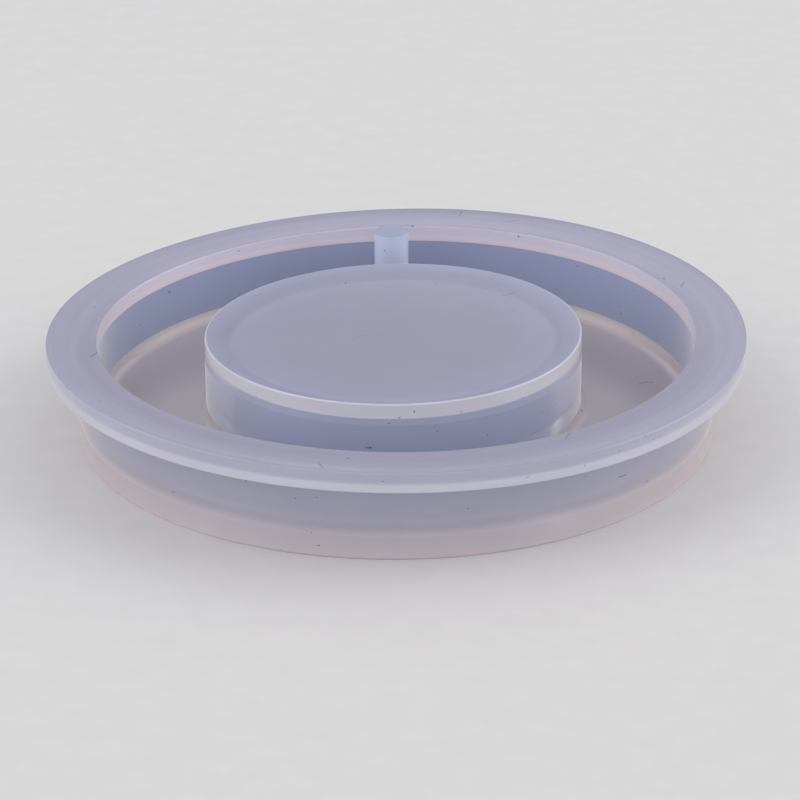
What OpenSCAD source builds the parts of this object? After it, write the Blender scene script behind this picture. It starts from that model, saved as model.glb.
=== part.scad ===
// Round silicone mould that casts a flat resin ring with one hanging hole.
// Origin at the centre of the underside, where the mould stands. +Z is up, and the hole pin is at +Y.
// The real mould is one continuous moulding. Its six sections are separate solids that meet face to face.

/* [Rim] */
// Outer diameter of the rim flange
rim_d = 60; // [57:0.5:80]
// Thickness of the rim flange
rim_t = 1.8; // [1:0.1:3]
// Height of the rim's top face above the table
rim_h = 8.8; // [7:0.1:16]

/* [Side wall] */
// Outer diameter of the side wall
barrel_d = 54.8; // [53:0.2:58]
// Thickness of the side wall
wall_t = 1.8; // [1.2:0.1:3]

/* [Channel floor] */
// Thickness of the floor under the casting channel
floor_t = 2; // [1.2:0.1:3.2]
// Radius of the cove between the floor and the side wall
wall_cove_r = 1; // [0.3:0.1:2]
// Radius of the cove between the floor and the core
core_cove_r = 0.6; // [0.2:0.1:1.5]

/* [Core] */
// Diameter of the raised core, which forms the ring's opening
core_d = 32.2; // [24:0.2:38]
// Height of the core's top face above the table
core_h = 8.7; // [7:0.1:14]
// Thickness of the core's top disc
core_top_t = 1.9; // [1.2:0.1:3]
// Thickness of the core's wall around the hollow under it
core_wall_t = 2.2; // [1.2:0.1:4]

/* [Hole pin] */
// Diameter of the pin that forms the ring's hanging hole
pin_d = 3.1; // [1.5:0.1:4]
// Height of the pin's top above the table, proud of the rim so that the hole stays open
pin_h = 9.6; // [8.8:0.1:16]
// Distance from the mould's axis to the pin's axis
pin_y = 22.4; // [20:0.1:23]

/* [Hidden] */
$fn = 180;
rim_r = rim_d / 2;
barrel_r = barrel_d / 2;
cavity_r = barrel_r - wall_t;
core_r = core_d / 2;
hollow_r = core_r - core_wall_t;
rim_z = rim_h - rim_t;
core_top_z = core_h - core_top_t;
silicone = [0.72, 0.73, 0.8];

// Flat ring between two radii and two heights
module ring(inner_r, outer_r, low, high) {
    rotate_extrude()
        translate([inner_r, low])
            square([outer_r - inner_r, high - low]);
}

// Cove that fills the corner at corner_r, where side is 1 for a wall outside it and -1 for one inside it
module cove(corner_r, cove_r, side) {
    arc_r = corner_r - side * cove_r;
    square_r = side > 0 ? arc_r : corner_r;
    rotate_extrude()
        difference() {
            translate([square_r, floor_t])
                square(cove_r);
            translate([arc_r, floor_t + cove_r])
                circle(cove_r);
        }
}

module rim_flange() {
    color(silicone)
        ring(cavity_r, rim_r, rim_z, rim_h);
}

module side_wall() {
    color(silicone)
        ring(cavity_r, barrel_r, floor_t, rim_z);
}

module channel_floor() {
    color(silicone)
        union() {
            ring(hollow_r, barrel_r, 0, floor_t);
            cove(cavity_r, wall_cove_r, 1);
            cove(core_r, core_cove_r, -1);
        }
}

module core_wall() {
    color(silicone)
        ring(hollow_r, core_r, floor_t, core_top_z);
}

module core_top() {
    color(silicone)
        translate([0, 0, core_top_z])
            cylinder(h = core_top_t, r = core_r);
}

module hole_pin() {
    color(silicone)
        translate([0, pin_y, floor_t])
            cylinder(h = pin_h - floor_t, d = pin_d);
}

rim_flange();
side_wall();
channel_floor();
core_wall();
core_top();
hole_pin();
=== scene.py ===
import math

import bmesh
import bpy
from mathutils import Matrix, Vector


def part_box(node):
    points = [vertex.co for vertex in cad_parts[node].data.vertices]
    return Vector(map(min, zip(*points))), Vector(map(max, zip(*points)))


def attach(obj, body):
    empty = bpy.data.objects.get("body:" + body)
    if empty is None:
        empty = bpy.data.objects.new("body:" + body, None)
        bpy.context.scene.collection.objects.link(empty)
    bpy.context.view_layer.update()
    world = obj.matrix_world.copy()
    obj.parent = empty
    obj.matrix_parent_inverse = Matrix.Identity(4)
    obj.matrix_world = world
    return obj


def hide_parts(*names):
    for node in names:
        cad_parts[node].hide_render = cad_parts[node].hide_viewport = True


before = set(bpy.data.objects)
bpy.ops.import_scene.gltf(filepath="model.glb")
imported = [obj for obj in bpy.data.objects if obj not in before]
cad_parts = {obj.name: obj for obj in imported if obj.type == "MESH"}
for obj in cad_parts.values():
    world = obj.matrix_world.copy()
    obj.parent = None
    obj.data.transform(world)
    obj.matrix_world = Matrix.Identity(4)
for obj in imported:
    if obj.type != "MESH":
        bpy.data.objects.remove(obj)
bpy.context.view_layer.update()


# ---------------------------------------------------------------- sizes, read from the CAD frame

MM = 0.001


def inner_radius(node):
    """Smallest distance of a ring-shaped node's vertices from the mould's axis."""
    return min(v.co.xy.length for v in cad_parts[node].data.vertices)


rim_low, rim_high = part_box("rim_flange")
wall_low, wall_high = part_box("side_wall")
floor_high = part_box("channel_floor")[1]
core_low, core_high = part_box("core_top")
pin_low, pin_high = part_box("hole_pin")

RIM_R = rim_high.x
RIM_TOP = rim_high.z
RIM_BOTTOM = rim_low.z
BARREL_R = wall_high.x
CAVITY_R = inner_radius("side_wall")
FLOOR_TOP = wall_low.z
WALL_COVE = floor_high.z - FLOOR_TOP
CORE_R = core_high.x
CORE_TOP = core_high.z
HOLLOW_TOP = core_low.z
HOLLOW_R = inner_radius("core_wall")
PIN_R = (pin_high.x - pin_low.x) / 2
PIN_Y = (pin_high.y + pin_low.y) / 2
PIN_TOP = pin_high.z

CORE_COVE = 0.6 * MM      # radius of the cove round the core's foot
GLOW_BOTTOM = 7.35 * MM   # the side wall's skin ends, and the rim's inside, painted pale as a glow, begins at this height
EDGE = 0.12 * MM          # rounding of the moulded outer edges
SUPPORT = 0.10 * MM       # a ring this close to each corner keeps the flats flat
RING_STEP = 0.8 * MM      # widest spacing of rings across a flat
EDGE_STEPS = 5            # round an edge
COVE_STEPS = 8            # round a cove
SEGMENTS = 288            # round the mould
PIN_SEGMENTS = 64         # round the pin
CREASE = math.radians(40) # a corner sharper than this stays crisp
SKIN, JOINT = 0, 1        # material slots: a visible surface, and a face where two sections meet

# The soft mould never lies quite true: towards the rim it leans, twists and goes slightly oval,
# its rim dips inwards and is crowned, and its core leans a little more, sits off centre and sags.
RIM_LEAN = math.tan(math.radians(0.38))
CORE_LEAN = math.tan(math.radians(0.70))
TWIST = 0.26 * MM
TWIST_PHASE = 1.64        # in radians
RIM_OVAL = 0.10 * MM
RIM_DIP = 0.12 * MM
RIM_CROWN = 0.07 * MM
CORE_SAG = 0.20 * MM
CORE_OVAL = 0.15 * MM
CORE_SHIFT = -0.25 * MM


def drop(p, radius, out):
    """How far a point lies below its true height, apart from lean and twist."""
    down = RIM_DIP * out * min(1.0, (RIM_R - radius) / (RIM_R - CAVITY_R))
    if p.z > RIM_BOTTOM and radius > CAVITY_R:
        across = 2 * (radius - CAVITY_R) / (RIM_R - CAVITY_R) - 1
        down -= RIM_CROWN * (1 - across ** 2) * (p.z - RIM_BOTTOM) / (RIM_TOP - RIM_BOTTOM)
    if radius < CORE_R and p.z > FLOOR_TOP:
        down += CORE_SAG * (1 - (radius / CORE_R) ** 2)
    return down


def relax(p):
    """Where a point of the true shape lies on the soft mould."""
    radius = p.xy.length
    turn = math.atan2(p.y, p.x)
    rise = max(0.0, (p.z - FLOOR_TOP) / (RIM_TOP - FLOOR_TOP))
    out = min(1.0, max(0.0, (radius - CORE_R) / (CAVITY_R - CORE_R)))
    in_core = min(1.0, radius / CORE_R) * (1 - out)

    core_x = CORE_SHIFT * (1 - out) + CORE_OVAL * in_core * math.cos(turn)
    core_x *= min(1.0, p.z / FLOOR_TOP)
    rim_x = RIM_OVAL * out * rise * math.cos(turn)

    lean = CORE_LEAN + (RIM_LEAN - CORE_LEAN) * out
    twist = TWIST * (radius / RIM_R) ** 2 * math.cos(2 * turn - TWIST_PHASE)
    lift = rise * (lean * p.x + twist - drop(p, radius, out))
    return Vector((p.x + core_x + rim_x, p.y, p.z + lift))


# ---------------------------------------------------------------- outlines in (radius, height)

def line(p, q, kind=SKIN):
    """Straight stroke with support points near its ends."""
    length = math.dist(p, q)
    shares = [0.0, 1.0]
    if length >= 3 * SUPPORT:
        inner = length - 2 * SUPPORT
        count = max(1, math.ceil(inner / RING_STEP))
        shares[1:1] = [(SUPPORT + inner * i / count) / length for i in range(count + 1)]
    return [(p[0] + (q[0] - p[0]) * s, p[1] + (q[1] - p[1]) * s) for s in shares], kind


def arc(centre, radius, start, end, steps=EDGE_STEPS):
    """Arc from start to end, in degrees."""
    angles = [math.radians(start + (end - start) * i / steps) for i in range(steps + 1)]
    return [(centre[0] + radius * math.cos(a), centre[1] + radius * math.sin(a)) for a in angles], SKIN


def rim_flange():
    return [
        line((CAVITY_R, GLOW_BOTTOM), (BARREL_R, RIM_BOTTOM), JOINT),
        line((BARREL_R, RIM_BOTTOM), (RIM_R - EDGE, RIM_BOTTOM)),
        arc((RIM_R - EDGE, RIM_BOTTOM + EDGE), EDGE, -90, 0),
        line((RIM_R, RIM_BOTTOM + EDGE), (RIM_R, RIM_TOP - EDGE)),
        arc((RIM_R - EDGE, RIM_TOP - EDGE), EDGE, 0, 90),
        line((RIM_R - EDGE, RIM_TOP), (CAVITY_R + EDGE, RIM_TOP)),
        arc((CAVITY_R + EDGE, RIM_TOP - EDGE), EDGE, 90, 180),
        line((CAVITY_R, RIM_TOP - EDGE), (CAVITY_R, GLOW_BOTTOM)),
    ]


def side_wall():
    return [
        line((CAVITY_R, FLOOR_TOP), (BARREL_R, FLOOR_TOP), JOINT),
        line((BARREL_R, FLOOR_TOP), (BARREL_R, RIM_BOTTOM)),
        line((BARREL_R, RIM_BOTTOM), (CAVITY_R, GLOW_BOTTOM), JOINT),
        line((CAVITY_R, GLOW_BOTTOM), (CAVITY_R, FLOOR_TOP + WALL_COVE)),
        line((CAVITY_R, FLOOR_TOP + WALL_COVE), (CAVITY_R, FLOOR_TOP), JOINT),
    ]


def channel_floor():
    wall_cove = (CAVITY_R - WALL_COVE, FLOOR_TOP + WALL_COVE)
    core_cove = (CORE_R + CORE_COVE, FLOOR_TOP + CORE_COVE)
    return [
        arc((HOLLOW_R + EDGE, EDGE), EDGE, 180, 270),
        line((HOLLOW_R + EDGE, 0), (BARREL_R - EDGE, 0)),
        arc((BARREL_R - EDGE, EDGE), EDGE, -90, 0),
        line((BARREL_R, EDGE), (BARREL_R, FLOOR_TOP)),
        line((BARREL_R, FLOOR_TOP), (CAVITY_R, FLOOR_TOP), JOINT),
        line((CAVITY_R, FLOOR_TOP), (CAVITY_R, FLOOR_TOP + WALL_COVE), JOINT),
        arc(wall_cove, WALL_COVE, 0, -90, COVE_STEPS),
        line((CAVITY_R - WALL_COVE, FLOOR_TOP), (CORE_R + CORE_COVE, FLOOR_TOP)),
        arc(core_cove, CORE_COVE, 270, 180, COVE_STEPS),
        line((CORE_R, FLOOR_TOP + CORE_COVE), (CORE_R, FLOOR_TOP), JOINT),
        line((CORE_R, FLOOR_TOP), (HOLLOW_R, FLOOR_TOP), JOINT),
        line((HOLLOW_R, FLOOR_TOP), (HOLLOW_R, EDGE)),
    ]


def core_wall():
    return [
        line((HOLLOW_R, FLOOR_TOP), (CORE_R, FLOOR_TOP), JOINT),
        line((CORE_R, FLOOR_TOP), (CORE_R, FLOOR_TOP + CORE_COVE), JOINT),
        line((CORE_R, FLOOR_TOP + CORE_COVE), (CORE_R, HOLLOW_TOP)),
        line((CORE_R, HOLLOW_TOP), (HOLLOW_R, HOLLOW_TOP), JOINT),
        line((HOLLOW_R, HOLLOW_TOP), (HOLLOW_R, FLOOR_TOP)),
    ]


def core_top():
    return [
        line((0, HOLLOW_TOP), (HOLLOW_R, HOLLOW_TOP)),
        line((HOLLOW_R, HOLLOW_TOP), (CORE_R, HOLLOW_TOP), JOINT),
        line((CORE_R, HOLLOW_TOP), (CORE_R, CORE_TOP - EDGE)),
        arc((CORE_R - EDGE, CORE_TOP - EDGE), EDGE, 0, 90),
        line((CORE_R - EDGE, CORE_TOP), (0, CORE_TOP)),
    ]


def hole_pin():
    return [
        line((0, FLOOR_TOP), (PIN_R, FLOOR_TOP), JOINT),
        line((PIN_R, FLOOR_TOP), (PIN_R, PIN_TOP - EDGE)),
        arc((PIN_R - EDGE, PIN_TOP - EDGE), EDGE, 0, 90),
        line((PIN_R - EDGE, PIN_TOP), (0, PIN_TOP)),
    ]


# ---------------------------------------------------------------- turning outlines into meshes

def turned(strokes, segments, centre_y):
    """A bmesh of the strokes turned round the vertical axis through (0, centre_y)."""
    bm = bmesh.new()
    angles = [2 * math.pi * i / segments for i in range(segments)]
    rings = {}

    def ring(p):
        """The vertices round one point of an outline, made once. A point on the axis is one vertex."""
        key = (round(p[0] / MM, 4), round(p[1] / MM, 4))
        if key not in rings and key[0] == 0:
            rings[key] = [bm.verts.new((0, centre_y, p[1]))] * segments
        elif key not in rings:
            rings[key] = [
                bm.verts.new((p[0] * math.cos(a), centre_y + p[0] * math.sin(a), p[1])) for a in angles
            ]
        return rings[key]

    for points, kind in strokes:
        for p, q in zip(points, points[1:]):
            low, high = ring(p), ring(q)
            for i in range(segments):
                j = (i + 1) % segments
                corners = dict.fromkeys((low[i], low[j], high[j], high[i]))
                face = bm.faces.new(corners)
                face.material_index = kind
                face.smooth = True
    return bm


def mesh_object(name, bm):
    """The object for a bmesh, relaxed, with crisp corners kept crisp. Its material goes by the true shape,
    so each point's true place is kept beside it."""
    true_place = bm.verts.layers.float_vector.new("true_place")
    for v in bm.verts:
        v[true_place] = v.co
        v.co = relax(v.co)
    bmesh.ops.recalc_face_normals(bm, faces=bm.faces)
    mesh = bpy.data.meshes.new(name)
    bm.to_mesh(mesh)
    bm.free()
    mesh.set_sharp_from_angle(angle=CREASE)
    piece = bpy.data.objects.new(name, mesh)
    bpy.context.scene.collection.objects.link(piece)
    return piece


# ---------------------------------------------------------------- building a material's nodes

PER_MM = 1 / MM           # a texture's scale, because its coordinates are in metres


class Graph:
    """Short calls for building one material's nodes."""

    def __init__(self, name):
        self.material = bpy.data.materials.new(name)
        self.material.use_nodes = True
        self.nodes = self.material.node_tree.nodes
        self.links = self.material.node_tree.links
        self.nodes.clear()

    def put(self, source, socket):
        """Connects a socket, or sets a plain value."""
        if isinstance(source, bpy.types.NodeSocket):
            self.links.new(source, socket)
        else:
            socket.default_value = source

    def add(self, kind, inputs=(), **settings):
        """A node, with its inputs by name or number."""
        node = self.nodes.new("ShaderNode" + kind)
        for key, value in settings.items():
            setattr(node, key, value)
        for key, value in dict(inputs).items():
            self.put(value, node.inputs[key])
        return node

    def math(self, operation, a, b=0.0):
        return self.add("Math", {0: a, 1: b}, operation=operation).outputs[0]

    def vector(self, operation, a, b=(0, 0, 0), out="Vector"):
        return self.add("VectorMath", {0: a, 1: b}, operation=operation).outputs[out]

    def noise(self, place, per_mm, detail, roughness=0.5):
        """Soft noise of about per_mm cells per millimetre, around 0.5."""
        inputs = {"Vector": place, "Scale": per_mm * PER_MM, "Detail": detail, "Roughness": roughness}
        return self.add("TexNoise", inputs).outputs["Fac"]

    def blend(self, share, a, b, kind="MIX"):
        node = self.add("Mix", {0: share, 6: a, 7: b}, data_type="RGBA", blend_type=kind)
        return node.outputs[2]

    def step(self, value, low, high):
        """0 below low and 1 above high, or the other way round when low is the larger."""
        ends = {"From Min": low, "From Max": high}
        if low > high:
            ends = {"From Min": high, "From Max": low, "To Min": 1.0, "To Max": 0.0}
        return self.add("MapRange", {"Value": value, **ends}, interpolation_type="SMOOTHSTEP").outputs[0]

    def ramp(self, value, stops):
        """Colour stops, each (place, colour), over a value."""
        first, last = stops[0][0], stops[-1][0]
        share = self.add("MapRange", {"Value": value, "From Min": first, "From Max": last})
        node = self.add("ValToRGB", {0: share.outputs[0]})
        points = node.color_ramp.elements
        while len(points) < len(stops):
            points.new(1.0)
        for point, (place, colour) in zip(points, stops):
            point.position = (place - first) / (last - first)
            point.color = (*colour, 1)
        return node.outputs[0]

    def tinted(self, colour, noise, dark, light):
        """The colour multiplied by dark to light, as the noise rises."""
        return self.blend(1.0, colour, self.ramp(noise, [(0.3, dark), (0.7, light)]), "MULTIPLY")

    def finish(self, surface):
        self.add("OutputMaterial", {"Surface": surface})
        return self.material


# ---------------------------------------------------------------- dirt on the silicone

DIRT_PER_MM = 0.5         # cells per millimetre, with at most one speck or fibre each
SPECK_LEAST = 0.02        # radii of specks, in cells
SPECK_MORE = 0.06
SPECK_SKIPPED = 0.35      # share of cells without a speck
SPECK_COVER = 0.65
FIBRE_HALF = 0.7 * MM     # half a fibre's length
FIBRE_BEND = 1.2          # largest bend, per millimetre
FIBRE_CORE = 0.03 * MM    # a fibre is solid this far from its middle line, and gone at FIBRE_REACH
FIBRE_REACH = 0.09 * MM
FIBRE_SKIPPED = 0.6
FIBRE_COVER = 0.55
DIRT_COLOUR = (0.03, 0.03, 0.04, 1)


def scattered(g, place):
    """Cells that fill space, each with a point in it, and three chances of its own."""
    cells = g.add("TexVoronoi", {"Vector": place, "Scale": DIRT_PER_MM * PER_MM}, feature="F1")
    return cells.outputs, g.add("SeparateColor", {0: cells.outputs["Color"]}).outputs


def dust(g, place):
    """Dark specks: small balls scattered through space, where they meet the surface."""
    cell, chance = scattered(g, place)
    size = g.math("MULTIPLY", g.math("POWER", chance["Red"], 3.0), SPECK_MORE)
    near = g.math("LESS_THAN", cell["Distance"], g.math("ADD", size, SPECK_LEAST))
    return g.math("MULTIPLY", near, g.math("GREATER_THAN", chance["Green"], SPECK_SKIPPED))


def lint(g, place):
    """Fine fibres: short bent level lines scattered through space, where they meet the surface."""
    cell, chance = scattered(g, place)
    x, y, z = g.add("SeparateXYZ", {0: g.vector("SUBTRACT", place, cell["Position"])}).outputs
    turn = g.math("MULTIPLY", chance["Red"], 2 * math.pi)
    cos, sin = g.math("COSINE", turn), g.math("SINE", turn)
    along = g.math("ADD", g.math("MULTIPLY", x, cos), g.math("MULTIPLY", y, sin))
    aside = g.math("SUBTRACT", g.math("MULTIPLY", y, cos), g.math("MULTIPLY", x, sin))
    bend = g.math("MULTIPLY", g.math("SUBTRACT", chance["Blue"], 0.5), FIBRE_BEND * PER_MM)
    bent = g.math("ADD", aside, g.math("MULTIPLY", g.math("MULTIPLY", along, along), bend))
    away = g.math("SQRT", g.math("ADD", g.math("MULTIPLY", bent, bent), g.math("MULTIPLY", z, z)))
    thin = g.step(away, FIBRE_REACH, FIBRE_CORE)
    short = g.math("LESS_THAN", g.math("ABSOLUTE", along), FIBRE_HALF)
    kept = g.math("GREATER_THAN", chance["Green"], FIBRE_SKIPPED)
    return g.math("MULTIPLY", g.math("MULTIPLY", thin, short), kept)


def dirty(g, place, colour):
    """The colour with dust and lint on it."""
    specks = g.math("MULTIPLY", dust(g, place), SPECK_COVER)
    fibres = g.math("MULTIPLY", lint(g, place), FIBRE_COVER)
    return g.blend(g.math("MAXIMUM", specks, fibres), colour, DIRT_COLOUR)


# ---------------------------------------------------------------- the silicone

SILICONE_IOR = 1.41
CLOUDS_PER_MM = 0.15      # broad milky clouds
CLOUDS_DARK = (0.98, 0.985, 0.99)
CLOUDS_LIGHT = (1.02, 1.015, 1.01)
SMEARS_PER_MM = 0.2       # duller smears, left by handling
SMEARS = 0.1              # how much they change the roughness
GRAIN_PER_MM = 2.5        # the tool's fine grain
WAVES_HEIGHT = 0.012 * MM # the soft skin's faint waviness
GRAIN_HEIGHT = 0.001 * MM
STREAKS_PER_MM = 1.4      # streaks left by the turned tool that the mould was cast in
COOL_HAZE = (0.92, 0.92, 1.0)
WARM_HAZE = (1.0, 0.95, 0.88)


def by_radius(g, radius, stops):
    """Colour stops, each (radius, colour), or one colour all over."""
    return g.ramp(radius, stops) if isinstance(stops, list) else (*stops, 1)


def streaked(g, place, radius, colour, strength):
    """The colour with faint streaks that run round the mould."""
    axes = g.add("SeparateXYZ", {0: place}).outputs
    turn = g.math("ARCTAN2", axes["Y"], axes["X"])
    around = g.add("CombineXYZ", {
        "X": g.math("MULTIPLY", radius, STREAKS_PER_MM * PER_MM),
        "Y": g.math("COSINE", turn),
        "Z": g.math("SINE", turn),
    })
    streaks = g.add("TexNoise", {"Vector": around.outputs[0], "Scale": 1.0, "Detail": 2.0}).outputs["Fac"]
    return g.tinted(colour, streaks, (1 - strength,) * 3, (1 + strength,) * 3)


def silicone(name, below, above=None, split=0.0, blur=0.0, streaks=0.0,
             clear=0.5, rough=0.2, lamp_light=0.62, haze=0.1, haze_tint=COOL_HAZE):
    """Milky silicone. below and above are its colours by radius, below and above the height split, and
    they run into each other over the height blur. clear is the share that lets light through, or stops
    of (radius, share). lamp_light is the share of the lamps' light that passes on into the mould."""
    g = Graph(name)
    place = g.add("Attribute", attribute_name="true_place").outputs["Vector"]
    radius = g.vector("LENGTH", g.vector("MULTIPLY", place, (1, 1, 0)), out="Value")

    colour = by_radius(g, radius, below)
    if above:
        height = g.add("SeparateXYZ", {0: place}).outputs["Z"]
        over = g.step(height, split - blur / 2, split + blur / 2)
        colour = g.blend(over, colour, by_radius(g, radius, above))
    if streaks:
        colour = streaked(g, place, radius, colour, streaks)
    clouds = g.noise(place, CLOUDS_PER_MM, 3.0, 0.55)
    colour = g.tinted(colour, clouds, CLOUDS_DARK, CLOUDS_LIGHT)
    colour = dirty(g, place, colour)

    smears = g.math("MULTIPLY", g.noise(place, SMEARS_PER_MM, 1.0), SMEARS)
    roughness = g.math("ADD", smears, rough - SMEARS / 2)

    waves = g.math("MULTIPLY", clouds, WAVES_HEIGHT)
    grain = g.math("MULTIPLY", g.noise(place, GRAIN_PER_MM, 1.0), GRAIN_HEIGHT)
    relief = g.math("ADD", waves, grain)
    bump = g.add("Bump", {"Height": relief, "Distance": 1.0, "Strength": 0.4}).outputs[0]

    if isinstance(clear, list):
        clear = g.ramp(radius, [(stop, (share,) * 3) for stop, share in clear])
    skin = g.add("BsdfPrincipled", {
        "Base Color": colour, "Roughness": roughness, "Normal": bump,
        "IOR": SILICONE_IOR, "Transmission Weight": clear,
        "Coat Weight": 0.1, "Coat Roughness": 0.15, "Coat IOR": SILICONE_IOR,
        "Sheen Weight": haze, "Sheen Roughness": 0.35, "Sheen Tint": (*haze_tint, 1),
    })
    # Light from the lamps passes through dimmed, so the walls glow from within.
    lamp_ray = g.add("LightPath").outputs["Is Shadow Ray"]
    dimmed = g.add("BsdfTransparent", {0: (lamp_light, lamp_light, 1.05 * lamp_light, 1)})
    return g.finish(g.add("MixShader", {0: lamp_ray, 1: skin.outputs[0], 2: dimmed.outputs[0]}).outputs[0])


def section_joint():
    """The face where one section runs into the next: nothing is seen of it."""
    g = Graph("section_joint")
    return g.finish(g.add("BsdfTransparent").outputs[0])


def studio_floor():
    """Plain pale board."""
    g = Graph("studio_floor")
    place = g.add("TexCoord").outputs["Object"]
    colour = g.ramp(g.noise(place, 0.4, 3.0), [(0.3, (0.57, 0.56, 0.54)), (0.7, (0.59, 0.58, 0.56))])
    board = g.add("BsdfPrincipled", {"Base Color": colour, "Roughness": 0.9, "Specular IOR Level": 0.2})
    return g.finish(board.outputs[0])


# Painted light and shade: where light gathers in the silicone it is painted white to pink as a glow, and
# where it is thin or shaded it is painted bluish as shade. The first colour below is the white of that
# painted glow.
PAINTED_GLOW = (0.92, 0.90, 0.92)
RIM_UNDER = (0.45, 0.44, 0.56)
RIM_FACE = (0.31, 0.30, 0.40)
CHANNEL_FACE = (0.49, 0.45, 0.47)
CORE_FACE = (0.31, 0.30, 0.40)

LOOKS = {
    "rim_flange": dict(
        below=[
            (CAVITY_R, (0.79, 0.68, 0.71)),                # the cavity's pink lip, a painted glow
            (CAVITY_R + 0.6 * MM, RIM_UNDER),
            (RIM_R - 0.2 * MM, RIM_UNDER),
            (RIM_R, (0.64, 0.63, 0.69)),                   # painted light: the bright lower half of the edge
        ],
        above=[
            (CAVITY_R, (0.69, 0.64, 0.73)),                # the lip's painted glow fades to lavender upwards
            (CAVITY_R + 0.1 * MM, RIM_FACE),
            (RIM_R - 0.1 * MM, RIM_FACE),
            # painted light: the upper half of the edge, lighter than the top
            (RIM_R, (0.55, 0.55, 0.64)),
        ],
        split=7.9 * MM, blur=0.45 * MM, streaks=0.05,
        clear=0.4, rough=0.24, haze=0.2, haze_tint=(1.0, 0.95, 0.92),
    ),
    "side_wall": dict(
        below=[(CAVITY_R, (0.92, 0.92, 0.88)), (BARREL_R, (0.73, 0.65, 0.67))],    # painted glow over the floor: pale inside, pink outside
        # painted shade: the cavity's face, bluish
        above=[(CAVITY_R, (0.32, 0.37, 0.55)), (BARREL_R, (0.50, 0.49, 0.56))],
        split=2.4 * MM, blur=1.2 * MM,
        clear=0.45, rough=0.24, lamp_light=0.5, haze=0.8, haze_tint=WARM_HAZE,
    ),
    "channel_floor": dict(
        below=[
            # painted shade: the hollow's wall, darker
            (HOLLOW_R, (0.40, 0.38, 0.44)),
            (CORE_R, (0.72, 0.63, 0.60)),                  # painted light: the cove round the core, lighter
            (CORE_R + 0.4 * MM, CHANNEL_FACE),
            (CAVITY_R - 0.8 * MM, CHANNEL_FACE),
            (CAVITY_R, (0.66, 0.61, 0.60)),                # painted light: the cove round the wall's foot, lighter
            (BARREL_R, (0.75, 0.67, 0.69)),                # painted glow: the floor's outer edge, pink
        ],
        clear=0.5, rough=0.24, lamp_light=0.35, haze=0.3, haze_tint=WARM_HAZE,
    ),
    "core_wall": dict(
        below=[
            (HOLLOW_R + 0.3 * MM, (0.03, 0.07, 0.46)),     # painted shade: the hollow, dark blue, seen through the wall
            # painted glow: the outer face, near white
            (CORE_R - 0.1 * MM, (0.87, 0.90, 0.92)),
        ],
        clear=0.66, rough=0.09, haze=1.0, haze_tint=(1.0, 0.94, 0.9),
    ),
    "core_top": dict(
        below=[
            (0, (0.54, 0.53, 0.62)),                       # the hollow's roof, painted lighter outwards as a glow that lights the side's band
            (9 * MM, (0.66, 0.64, 0.70)),
            (HOLLOW_R, (0.80, 0.78, 0.82)),
            # painted glow towards the side
            (CORE_R - 0.2 * MM, PAINTED_GLOW),
            (CORE_R - 0.06 * MM, (0.82, 0.86, 0.90)),      # painted light: the side, level with the roof, bluish white
        ],
        above=[
            (10 * MM, CORE_FACE),
            # painted shade: a bluer ring towards the edge
            (HOLLOW_R + 0.3 * MM, (0.31, 0.31, 0.43)),
            (CORE_R - 0.2 * MM, (0.35, 0.36, 0.51)),
            (CORE_R - 0.06 * MM, PAINTED_GLOW),                    # painted glow: the side's pale band
        ],
        split=7.42 * MM, blur=0.12 * MM, streaks=0.006,
        clear=[(CORE_R - 0.2 * MM, 0.42), (CORE_R - 0.06 * MM, 0.58)],
        rough=0.16, lamp_light=0.45, haze=0.15,
    ),
    "hole_pin": dict(
        # painted light and shade: the side lighter than its flat top
        below=(0.66, 0.70, 0.84),
        above=(0.33, 0.36, 0.49),                          # its flat top
        split=9.5 * MM, blur=0.2 * MM,
        clear=0.4, rough=0.22, haze=0.2,
    ),
}


# ---------------------------------------------------------------- the six sections

SECTIONS = {
    "rim_flange": (rim_flange(), SEGMENTS, 0.0),
    "side_wall": (side_wall(), SEGMENTS, 0.0),
    "channel_floor": (channel_floor(), SEGMENTS, 0.0),
    "core_wall": (core_wall(), SEGMENTS, 0.0),
    "core_top": (core_top(), SEGMENTS, 0.0),
    "hole_pin": (hole_pin(), PIN_SEGMENTS, PIN_Y),
}

seam = section_joint()
for node, (strokes, segments, centre_y) in SECTIONS.items():
    piece = mesh_object(node + "_silicone", turned(strokes, segments, centre_y))
    piece.data.materials.append(silicone(node + "_silicone", **LOOKS[node]))
    piece.data.materials.append(seam)
    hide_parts(node)
    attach(piece, "root")


# ---------------------------------------------------------------- floor, light and camera

FLOOR_SIDE = 3.0
FLOOR_GAP = 0.02 * MM     # a hairline below the mould, so that no two faces share a plane


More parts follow.
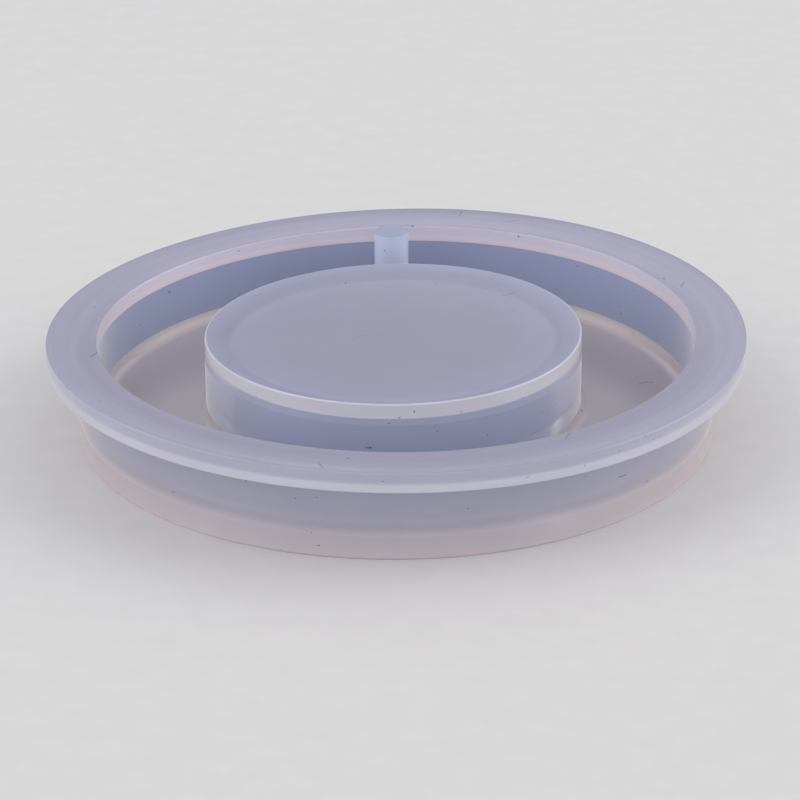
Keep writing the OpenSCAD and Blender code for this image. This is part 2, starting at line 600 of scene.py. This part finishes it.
def softbox(name, place, size, power, tint):
    """A rectangular lamp that faces the mould."""
    data = bpy.data.lights.new(name, "AREA")
    data.shape = "RECTANGLE"
    data.size, data.size_y = size
    data.energy = power
    data.color = tint
    lamp = bpy.data.objects.new(name, data)
    lamp.location = place
    lamp.rotation_euler = (-Vector(place)).to_track_quat("-Z", "Y").to_euler()
    bpy.context.scene.collection.objects.link(lamp)


bpy.ops.mesh.primitive_plane_add(size=FLOOR_SIDE, location=(0, 0, -FLOOR_GAP))
floor = bpy.context.object
floor.name = "studio_floor"
floor.data.materials.append(studio_floor())

softbox("back_softbox", (0.0, 0.66, 0.62), (1.2, 0.62), 2.6, (0.92, 0.95, 1.0))
softbox("left_softbox", (-0.70, -0.10, 0.50), (0.8, 0.8), 4.3, (1.0, 0.96, 0.95))
softbox("right_softbox", (0.70, 0.05, 0.40), (0.8, 0.8), 4.5, (1.0, 0.96, 0.93))
softbox("front_softbox", (0.0, -0.85, 0.32), (1.0, 0.55), 2.9, (0.91, 0.94, 1.0))

world = bpy.data.worlds.new("studio")
bpy.context.scene.world = world
world.use_nodes = True
background = world.node_tree.nodes["Background"]
background.inputs["Color"].default_value = (0.86, 0.89, 1.0, 1)
background.inputs["Strength"].default_value = 0.5

CAMERA_TARGET = Vector((0.315 * MM, 0, 2.212 * MM))
CAMERA_DISTANCE = 0.3251
CAMERA_ELEVATION = math.radians(23.222)
CAMERA_TURN = math.radians(-0.85)
CAMERA_ROLL = math.radians(-0.25)

camera_data = bpy.data.cameras.new("camera")
camera_data.sensor_width = 36
camera_data.lens = 168.5
camera_data.clip_start = 0.01
camera = bpy.data.objects.new("camera", camera_data)
level = math.cos(CAMERA_ELEVATION)
back = Vector((math.sin(CAMERA_TURN) * level, -math.cos(CAMERA_TURN) * level, math.sin(CAMERA_ELEVATION)))
look = (-back).to_track_quat("-Z", "Y").to_matrix().to_4x4()
roll = Matrix.Rotation(CAMERA_ROLL, 4, "Z")
camera.matrix_world = Matrix.Translation(CAMERA_TARGET + back * CAMERA_DISTANCE) @ look @ roll
bpy.context.scene.collection.objects.link(camera)
bpy.context.scene.camera = camera

bpy.context.scene.view_settings.view_transform = "Standard"
